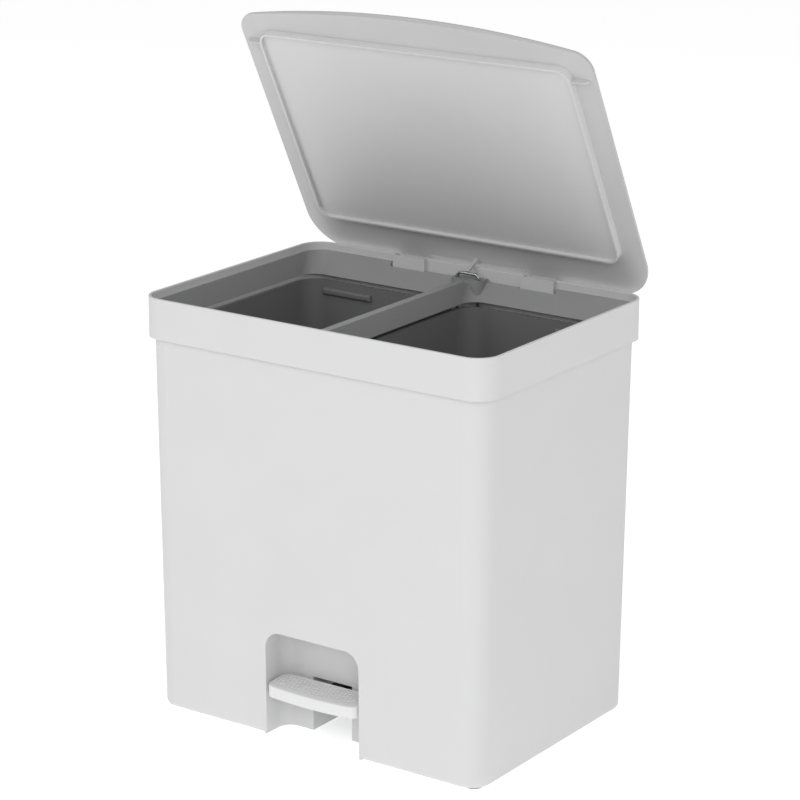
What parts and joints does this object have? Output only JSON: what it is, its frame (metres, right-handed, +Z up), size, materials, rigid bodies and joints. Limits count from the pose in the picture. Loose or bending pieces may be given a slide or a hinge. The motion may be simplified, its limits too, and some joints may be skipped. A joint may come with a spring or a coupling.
{
  "type": "pedal bin",
  "caption": "Two-compartment pedal bin: drafted plastic shell, rim collar with insert frame, two lift-out buckets, and a hinged lid raised by a pedal, lever and wire push rod.",
  "frame": {"origin": "on the floor at the middle of the body's footprint, which is the underside of the centre foot", "axes": "+Z up, +X to the right seen from the front, front with the pedal towards -Y; rest pose has the lid open and the pedal pressed"},
  "size_m": [0.4014, 0.3009, 0.6853],
  "materials": {
    "white_plastic": "fine satin moulded polypropylene",
    "lid_plastic": "fine satin moulded polypropylene",
    "grey_plastic": "satin moulded grey polypropylene",
    "bucket_plastic": "satin moulded dark grey polypropylene",
    "bright_steel": "drawn bright wire and pins",
    "zinc_steel": "zinc-plated sheet",
    "foot_rubber": "matt soft rubber"
  },
  "bodies": {
    "bin": {"outer_shell": "white_plastic", "rim_collar": "white_plastic", "insert_frame": "grey_plastic", "bucket_left": "bucket_plastic", "bucket_right": "bucket_plastic", "hinge_pin_left": "bright_steel", "hinge_pin_right": "bright_steel", "rod_guide_upper": "grey_plastic", "rod_guide_lower": "grey_plastic", "pedal_axle": "bright_steel", "axle_clip_left": "bright_steel", "axle_clip_right": "bright_steel", "lever_bush_left": "grey_plastic", "lever_bush_right": "grey_plastic", "foot_front_left": "foot_rubber", "foot_front_right": "foot_rubber", "foot_rear_left": "foot_rubber", "foot_rear_right": "foot_rubber", "foot_center": "foot_rubber"},
    "lid": {"lid_shell": "lid_plastic", "lid_liner": "lid_plastic"},
    "rod": {"push_rod": "bright_steel", "rod_foot": "grey_plastic", "link_pin": "bright_steel"},
    "pedal": {"pedal_lever": "zinc_steel", "pedal_tread": "white_plastic", "tread_screw_left": "bright_steel", "tread_screw_right": "bright_steel"}
  },
  "joints": [
    {"name": "lid_hinge", "type": "hinge", "parent": "bin", "child": "lid", "pos_m": [0, 0.142, 0.4103], "axis": [-1, 0, 0], "range_deg": [-62.5, 0]},
    {"name": "rod_slide", "type": "slide", "parent": "bin", "child": "rod", "axis": [0, 0, 1], "range_m": [-0.0165, 0]},
    {"name": "pedal_tilt", "type": "hinge", "parent": "bin", "child": "pedal", "pos_m": [0, 0.005, 0.0444], "axis": [1, 0, 0], "range_deg": [-7.9, 0]}
  ],
  "couplings": [
    {"joint": "rod_slide", "follows": "lid_hinge", "m_per_rad": 0.01502},
    {"joint": "pedal_tilt", "follows": "lid_hinge", "ratio": 0.12548}
  ]
}
